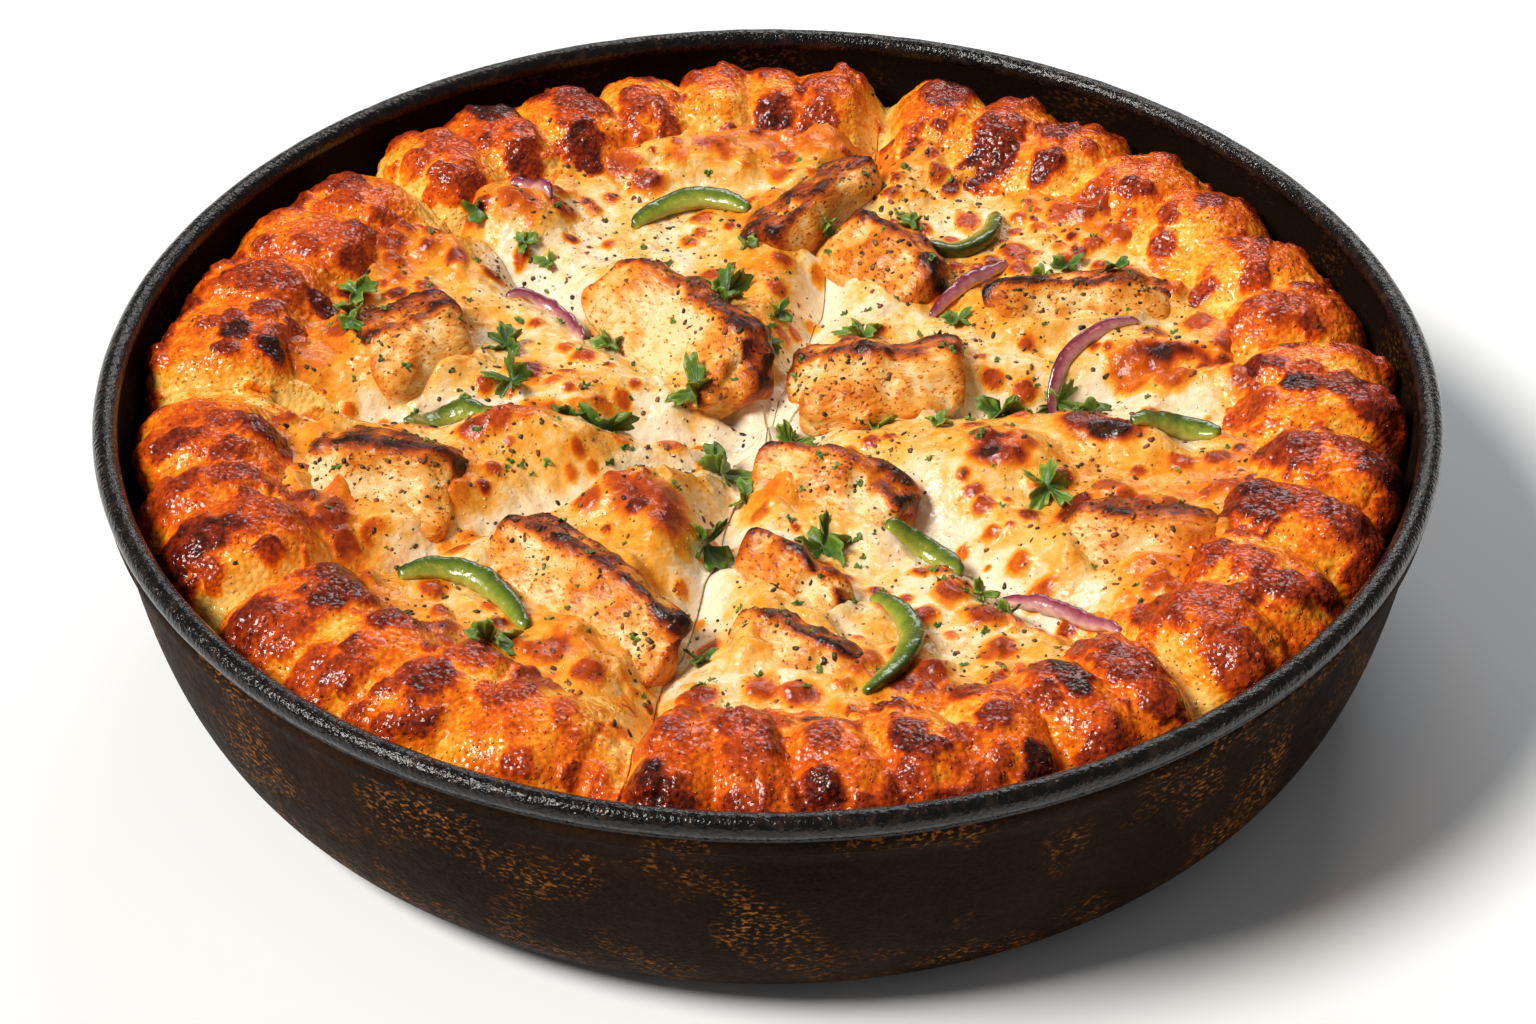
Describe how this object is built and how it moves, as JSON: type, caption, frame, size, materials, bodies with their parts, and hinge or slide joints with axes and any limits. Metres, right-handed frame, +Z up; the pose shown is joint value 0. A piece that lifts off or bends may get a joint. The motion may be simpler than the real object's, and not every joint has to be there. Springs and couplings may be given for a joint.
{
  "type": "deep dish pizza in its pan",
  "caption": "Deep dish pizza with a folded browned crust, melted cheese, chicken, green pepper, red onion and parsley, cut in wedges and still in its round dark steel pan.",
  "frame": {"origin": "the middle of the pan's flat underside", "axes": "+Z up; +Y away from the viewer of the picture, so the picture is taken from the -Y side; +X to that viewer's right"},
  "size_m": [0.26, 0.26, 0.0584],
  "materials": {
    "seasoned_steel": "dark seasoned sheet steel, satin, with rust-brown flecks on the outside and a glossy rolled rim",
    "baked_dough": "golden baked dough with red-brown blisters, lightly oiled",
    "melted_cheese": "pale cream melted cheese with orange-brown baked spots, glossy",
    "roast_chicken": "roast chicken, browned on its ridges and pale on its cut faces, with black pepper and herbs",
    "green_pepper": "cooked green pepper skin, glossy",
    "red_onion": "cooked red onion, glossy and purple with a pale edge",
    "parsley_leaf": "chopped green parsley leaf"
  },
  "bodies": {
    "root": {"pan": "seasoned_steel", "crust_1": "baked_dough", "crust_2": "baked_dough", "crust_3": "baked_dough", "crust_4": "baked_dough", "crust_5": "baked_dough", "crust_6": "baked_dough", "crust_7": "baked_dough", "cheese_1": "melted_cheese", "cheese_2": "melted_cheese", "cheese_3": "melted_cheese", "cheese_4": "melted_cheese", "cheese_5": "melted_cheese", "cheese_6": "melted_cheese", "cheese_7": "melted_cheese", "chicken_01": "roast_chicken", "chicken_02": "roast_chicken", "chicken_03": "roast_chicken", "chicken_04": "roast_chicken", "chicken_05": "roast_chicken", "chicken_06": "roast_chicken", "chicken_07": "roast_chicken", "chicken_08": "roast_chicken", "chicken_09": "roast_chicken", "chicken_10": "roast_chicken", "chicken_11": "roast_chicken", "chicken_12": "roast_chicken", "pepper_1": "green_pepper", "pepper_2": "green_pepper", "pepper_3": "green_pepper", "pepper_4": "green_pepper", "pepper_5": "green_pepper", "pepper_6": "green_pepper", "pepper_7": "green_pepper", "onion_1": "red_onion", "onion_2": "red_onion", "onion_3": "red_onion", "onion_4": "red_onion", "onion_5": "red_onion", "parsley_01": "parsley_leaf", "parsley_02": "parsley_leaf", "parsley_03": "parsley_leaf", "parsley_04": "parsley_leaf", "parsley_05": "parsley_leaf", "parsley_06": "parsley_leaf", "parsley_07": "parsley_leaf", "parsley_08": "parsley_leaf", "parsley_09": "parsley_leaf", "parsley_10": "parsley_leaf", "parsley_11": "parsley_leaf", "parsley_12": "parsley_leaf", "parsley_13": "parsley_leaf", "parsley_14": "parsley_leaf"}
  },
  "joints": []
}
